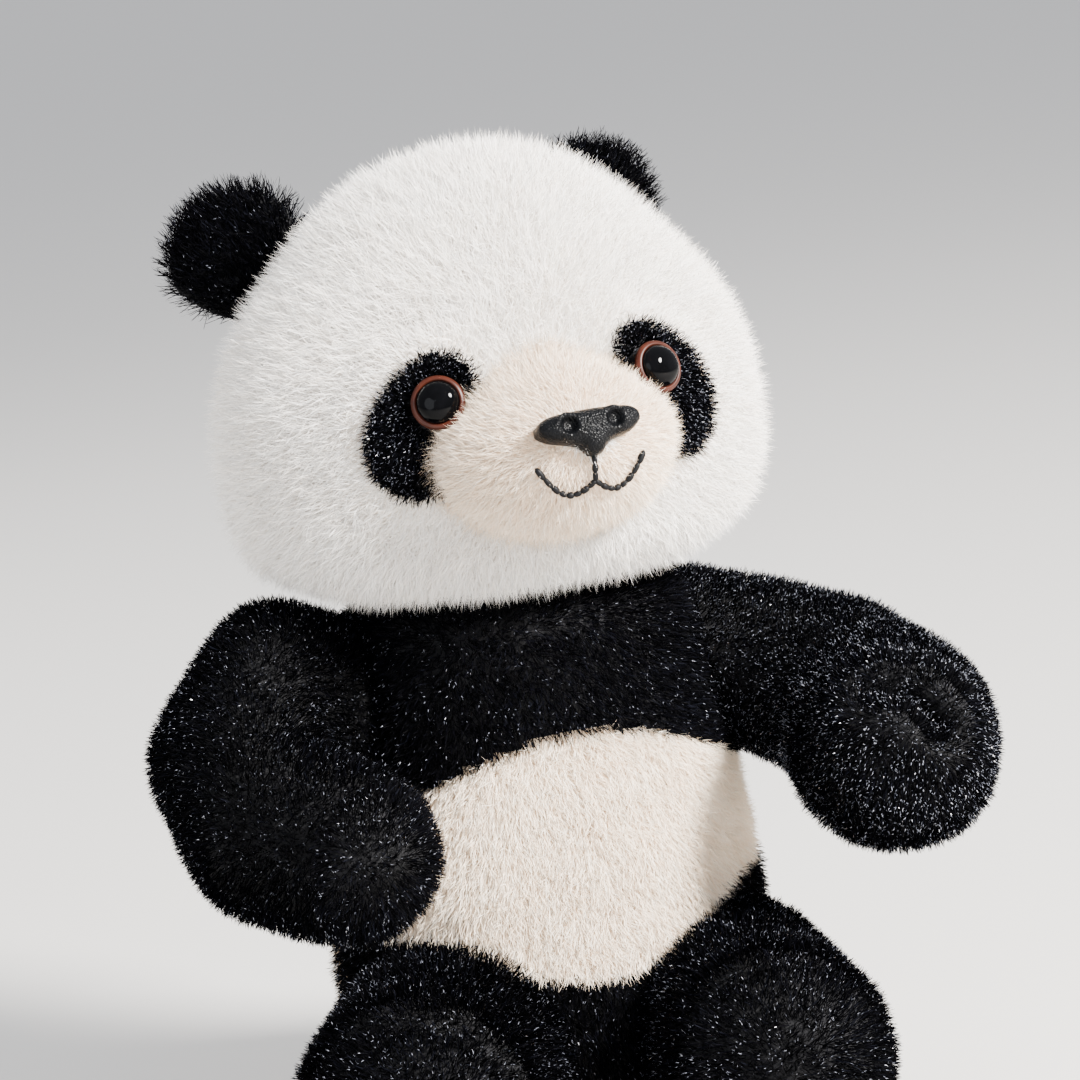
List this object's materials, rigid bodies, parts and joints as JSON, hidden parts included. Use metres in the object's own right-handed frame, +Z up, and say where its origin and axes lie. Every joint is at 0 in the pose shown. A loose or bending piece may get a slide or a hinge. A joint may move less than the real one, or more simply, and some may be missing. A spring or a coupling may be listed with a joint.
{
  "type": "plush panda",
  "caption": "Seated soft panda toy with a large round head, domed eyes, stitched smile, short arms and forward legs; head, ears and limbs flex.",
  "frame": {"origin": "on the seat's flat underside, midway between the hips' back halves, at floor level", "axes": "+Z up, the panda faces -Y, its left side is +X"},
  "size_m": [0.1973, 0.1561, 0.244],
  "materials": {
    "white_plush": "long white pile",
    "cream_plush": "short cream pile",
    "black_plush": "dense short black pile with a sheen",
    "polyester_stuffing": "loose fibre filling",
    "amber_eye": "polished brown rim",
    "black_eye": "polished black dome",
    "washer_plastic": "plain moulded plastic",
    "nose_plastic": "fine grained black plastic",
    "black_thread": "twisted embroidery thread"
  },
  "bodies": {
    "torso": {"chest_band_front": "black_plush", "chest_band_back": "black_plush", "belly_panel": "cream_plush", "lap_panel": "black_plush", "right_hip_panel": "black_plush", "left_hip_panel": "black_plush", "back_panel_left": "cream_plush", "back_panel_right": "cream_plush", "seat_panel": "black_plush", "torso_stuffing": "polyester_stuffing"},
    "neck": {"neck_stuffing": "polyester_stuffing"},
    "head": {"head_face_panel": "white_plush", "head_back_panel_left": "white_plush", "head_back_panel_right": "white_plush", "muzzle_panel": "cream_plush", "left_eye_patch": "black_plush", "right_eye_patch": "black_plush", "left_eye_iris": "amber_eye", "left_eye_pupil": "black_eye", "left_eye_washer": "washer_plastic", "right_eye_iris": "amber_eye", "right_eye_pupil": "black_eye", "right_eye_washer": "washer_plastic", "nose": "nose_plastic", "nose_washer": "washer_plastic", "mouth_stitching": "black_thread", "head_stuffing": "polyester_stuffing"},
    "left_ear": {"left_ear_front_panel": "black_plush", "left_ear_back_panel": "black_plush"},
    "left_arm": {"left_arm_upper_panel": "black_plush", "left_arm_under_panel": "black_plush", "left_arm_stuffing": "polyester_stuffing"},
    "left_leg": {"left_leg_upper_panel": "black_plush", "left_leg_under_panel": "black_plush", "left_foot_sole_panel": "black_plush", "left_leg_stuffing": "polyester_stuffing"},
    "right_ear": {"right_ear_front_panel": "black_plush", "right_ear_back_panel": "black_plush"},
    "right_arm": {"right_arm_upper_panel": "black_plush", "right_arm_under_panel": "black_plush", "right_arm_stuffing": "polyester_stuffing"},
    "right_leg": {"right_leg_upper_panel": "black_plush", "right_leg_under_panel": "black_plush", "right_foot_sole_panel": "black_plush", "right_leg_stuffing": "polyester_stuffing"}
  },
  "joints": [
    {"name": "neck_turn", "type": "hinge", "parent": "torso", "child": "neck", "pos_m": [0, 0, 0.139], "axis": [0, 0, 1], "range_deg": [-30, 30], "stiffness_Nm_per_rad": 0.5},
    {"name": "head_nod", "type": "hinge", "parent": "neck", "child": "head", "pos_m": [0, 0, 0.139], "axis": [1, 0, 0], "range_deg": [-8, 6], "stiffness_Nm_per_rad": 1.2},
    {"name": "left_ear_fold", "type": "hinge", "parent": "head", "child": "left_ear", "pos_m": [0.0381, 0.03324, 0.20901], "axis": [0.827, 0.1758, -0.5341], "range_deg": [-20, 20], "stiffness_Nm_per_rad": 0.05},
    {"name": "left_shoulder", "type": "hinge", "parent": "torso", "child": "left_arm", "pos_m": [0.044, 0.002, 0.112], "axis": [-0.7071, -0.7071, 0], "range_deg": [0, 36], "stiffness_Nm_per_rad": 0.4},
    {"name": "left_hip", "type": "hinge", "parent": "torso", "child": "left_leg", "pos_m": [0.034, -0.026, 0.031], "axis": [0, 0, 1], "range_deg": [0, 20], "stiffness_Nm_per_rad": 0.4},
    {"name": "right_ear_fold", "type": "hinge", "parent": "head", "child": "right_ear", "pos_m": [-0.0421, 0.02924, 0.21001], "axis": [0.827, -0.1758, 0.5341], "range_deg": [-20, 20], "stiffness_Nm_per_rad": 0.05},
    {"name": "right_shoulder", "type": "hinge", "parent": "torso", "child": "right_arm", "pos_m": [-0.044, 0.002, 0.112], "axis": [-0.7071, 0.7071, 0], "range_deg": [0, 17], "stiffness_Nm_per_rad": 0.4},
    {"name": "right_hip", "type": "hinge", "parent": "torso", "child": "right_leg", "pos_m": [-0.034, -0.026, 0.031], "axis": [0, 0, -1], "range_deg": [-15, 20], "stiffness_Nm_per_rad": 0.4}
  ]
}
